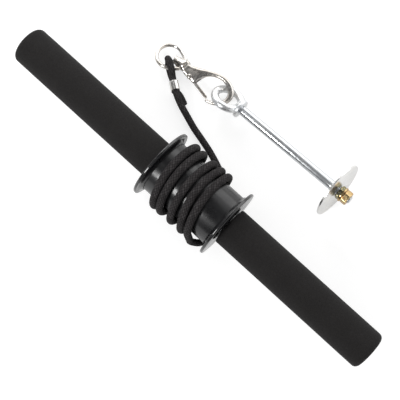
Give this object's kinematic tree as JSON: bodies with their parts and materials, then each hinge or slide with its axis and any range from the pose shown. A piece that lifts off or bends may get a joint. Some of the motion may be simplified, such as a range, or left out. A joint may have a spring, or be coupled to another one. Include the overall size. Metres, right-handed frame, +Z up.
{
  "type": "forearm trainer",
  "caption": "Foam-gripped roller bar whose spool winds a cord, ending in a swivel snap hook and a loading pin with a stop disc for weight plates.",
  "frame": {"origin": "on the table under the middle of the whole set's box; the roller bar's axis runs along X at y -45.6 mm and z 37.5 mm", "axes": "+X along the roller bar towards the side on which the loading pin's disc lies, +Y from the bar towards the hook and pin, +Z up"},
  "size_m": [0.452, 0.1671, 0.075],
  "materials": {
    "steel": "satin",
    "plug": "satin",
    "foam": "matte",
    "spool": "gloss",
    "cord": "matte",
    "ferrule": "polished",
    "hook": "polished",
    "zinc": "gloss",
    "disc": "polished",
    "gold_zinc": "gloss"
  },
  "bodies": {
    "roller": {"core_tube": "steel", "tube_plug_left": "plug", "tube_plug_right": "plug", "grip_left": "foam", "grip_right": "foam", "spool_drum": "spool", "flange_left": "spool", "flange_right": "spool", "drive_pin": "steel", "cord_winding": "cord", "cord_knot": "cord", "cord_lead": "cord", "cord_loop": "cord", "cord_ferrule": "ferrule", "flange_screw_left_1": "steel", "flange_screw_left_2": "steel", "flange_screw_left_3": "steel", "flange_screw_right_1": "steel", "flange_screw_right_2": "steel", "flange_screw_right_3": "steel"},
    "swivel_eye": {"swivel_eye": "hook"},
    "snap_body": {"snap_body": "hook", "gate_rivet": "hook", "gate_spring": "steel"},
    "gate": {"gate": "hook"},
    "eye_nut": {"eye_nut": "zinc"},
    "plate_pin": {"loading_rod": "zinc", "plate_disc": "disc", "lock_nut": "zinc", "nut_washer": "gold_zinc", "end_nut": "gold_zinc"}
  },
  "joints": [
    {"name": "ring_on_cord", "type": "hinge", "parent": "roller", "child": "swivel_eye", "pos_m": [-0.11106, 0.0365, 0.01023], "axis": [0.8046, 0.5924, -0.042], "range_deg": [-60, 75]},
    {"name": "hook_swivel", "type": "hinge", "parent": "swivel_eye", "child": "snap_body", "pos_m": [-0.0998, 0.05, 0.0086], "axis": [0.9857, 0.1561, 0.0628], "continuous": true},
    {"name": "gate_hinge", "type": "hinge", "parent": "snap_body", "child": "gate", "pos_m": [-0.08863, 0.04513, 0.00785], "axis": [-0.0281, -0.215, 0.9762], "range_deg": [0, 18], "stiffness_Nm_per_rad": 0.15, "springref_deg": -20.05, "deforming": ["gate_spring"]},
    {"name": "eye_on_bow", "type": "hinge", "parent": "snap_body", "child": "eye_nut", "pos_m": [-0.04371, 0.05479, 0.01434], "axis": [-0.1578, 0.7274, 0.6678], "range_deg": [-18, 28]},
    {"name": "rod_in_eye", "type": "hinge", "parent": "eye_nut", "child": "plate_pin", "pos_m": [-0.0434, 0.0531, 0.01261], "axis": [0.9931, 0, 0.1172], "continuous": true}
  ]
}
